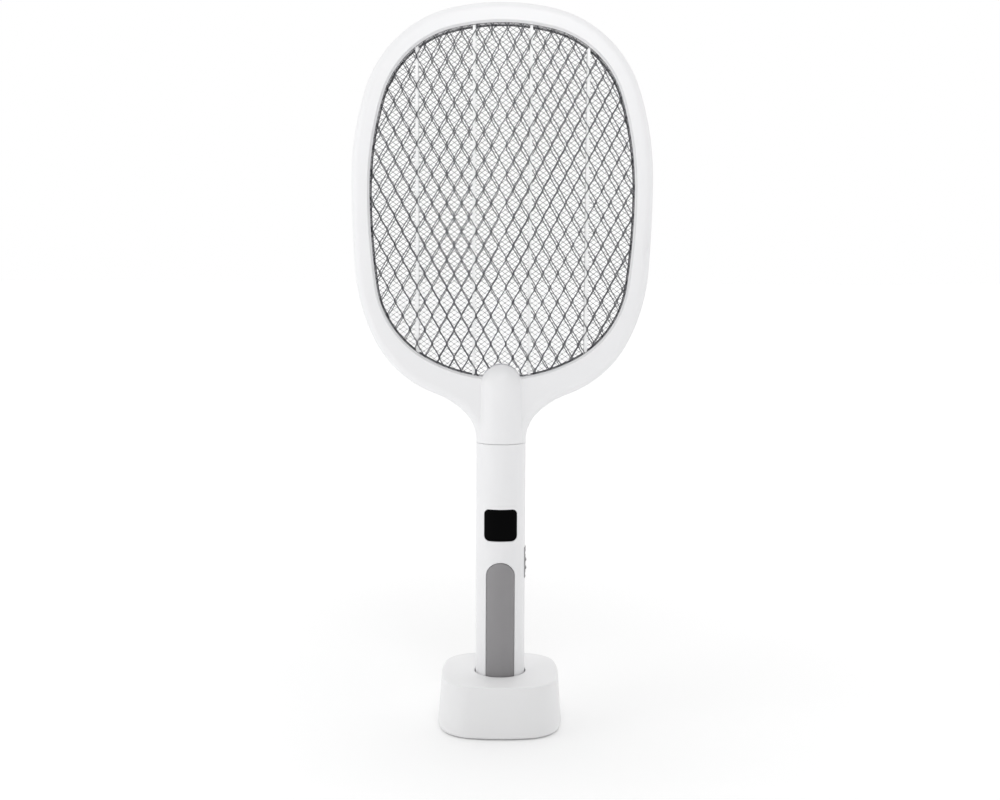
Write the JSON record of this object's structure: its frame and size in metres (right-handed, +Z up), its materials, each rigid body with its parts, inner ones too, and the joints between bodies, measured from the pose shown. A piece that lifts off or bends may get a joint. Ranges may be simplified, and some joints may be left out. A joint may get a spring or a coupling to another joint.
{
  "type": "electric fly swatter",
  "caption": "Racket-shaped electric insect swatter: three-layer mesh in an egg-shaped white ring, round handle with trigger and grip strip, standing in a charging socket.",
  "frame": {"origin": "centre of the stand's footprint, on the surface it stands on", "axes": "+Z up along the handle, -Y the front with the trigger and grip, +X the side with the mode slider"},
  "size_m": [0.2022, 0.0856, 0.4905],
  "materials": {
    "white_shell": "fine satin moulded white",
    "white_stand": "satin moulded white",
    "grey_grip": "soft-touch grey",
    "grey_plastic": "moulded grey",
    "black_gloss": "polished black",
    "guard_steel": "dark coated steel",
    "live_steel": "dull steel",
    "insulator": "milky insulating plastic",
    "clear_lens": "violet-tinted clear",
    "led_epoxy": "tinted epoxy",
    "board_green": "solder mask",
    "brass": "plated",
    "screw_steel": "zinc plated",
    "tinned_steel": "nickel plated",
    "cell_wrap": "shrink sleeve",
    "foam": "foam",
    "ferrite": "sintered",
    "winding_tape": "taped winding",
    "capacitor_red": "dipped",
    "disc_blue": "dipped ceramic",
    "black_plastic": "moulded black",
    "lead_red": "insulated wire",
    "foot_rubber": "matt rubber"
  },
  "bodies": {
    "stand": {"base_shell": "white_stand", "base_plate": "white_stand", "base_feet": "foot_rubber", "base_screws": "screw_steel", "charge_board": "board_green", "charge_board_parts": "black_plastic", "usb_inlet": "tinned_steel", "pin_barrels": "brass"},
    "racket": {"handle_front_shell": "white_shell", "handle_rear_shell": "white_shell", "grip_inlay": "grey_grip", "end_cap": "grey_plastic", "charge_pads": "brass", "battery_cell": "cell_wrap", "battery_tabs": "tinned_steel", "battery_cradle": "foam", "control_board": "board_green", "transformer_core": "ferrite", "transformer_winding": "winding_tape", "hv_capacitors": "capacitor_red", "rectifier_diodes": "black_plastic", "disc_capacitors": "disc_blue", "control_chips": "black_plastic", "trigger_switch": "black_plastic", "mode_switch": "black_plastic", "handle_screws": "screw_steel", "neck_screws": "screw_steel", "neck_sleeve": "grey_plastic", "mode_bezel": "grey_plastic", "head_front_shell": "white_shell", "head_rear_shell": "white_shell", "front_guard_mesh": "guard_steel", "rear_guard_mesh": "guard_steel", "hv_mesh": "live_steel", "front_mesh_spacer": "insulator", "rear_mesh_spacer": "insulator", "mesh_contacts": "brass", "hv_leads": "lead_red", "lamp_board": "board_green", "lamp_leds": "led_epoxy", "lamp_lens": "clear_lens", "head_screws": "screw_steel"},
    "trigger": {"trigger_button": "black_gloss", "trigger_plunger": "grey_plastic"},
    "mode_slider": {"mode_knob": "grey_plastic", "mode_lever": "black_plastic"},
    "left_pin": {"pin_left_plunger": "brass"},
    "right_pin": {"pin_right_plunger": "brass"}
  },
  "joints": [
    {"name": "racket_lift", "type": "slide", "parent": "stand", "child": "racket", "axis": [0, 0, 1], "range_m": [0, 0.06]},
    {"name": "trigger_press", "type": "slide", "parent": "racket", "child": "trigger", "axis": [0, 1, 0], "range_m": [0, 0.001], "stiffness_N_per_m": 1500, "springref_m": -0.0004},
    {"name": "mode_slide", "type": "slide", "parent": "racket", "child": "mode_slider", "axis": [0, 0, 1], "range_m": [-0.0025, 0.0025]},
    {"name": "left_pin_travel", "type": "slide", "parent": "stand", "child": "left_pin", "axis": [0, 0, 1], "range_m": [-0.0013, 0], "stiffness_N_per_m": 400, "springref_m": 0.0008},
    {"name": "right_pin_travel", "type": "slide", "parent": "stand", "child": "right_pin", "axis": [0, 0, 1], "range_m": [-0.0013, 0], "stiffness_N_per_m": 400, "springref_m": 0.0008}
  ]
}
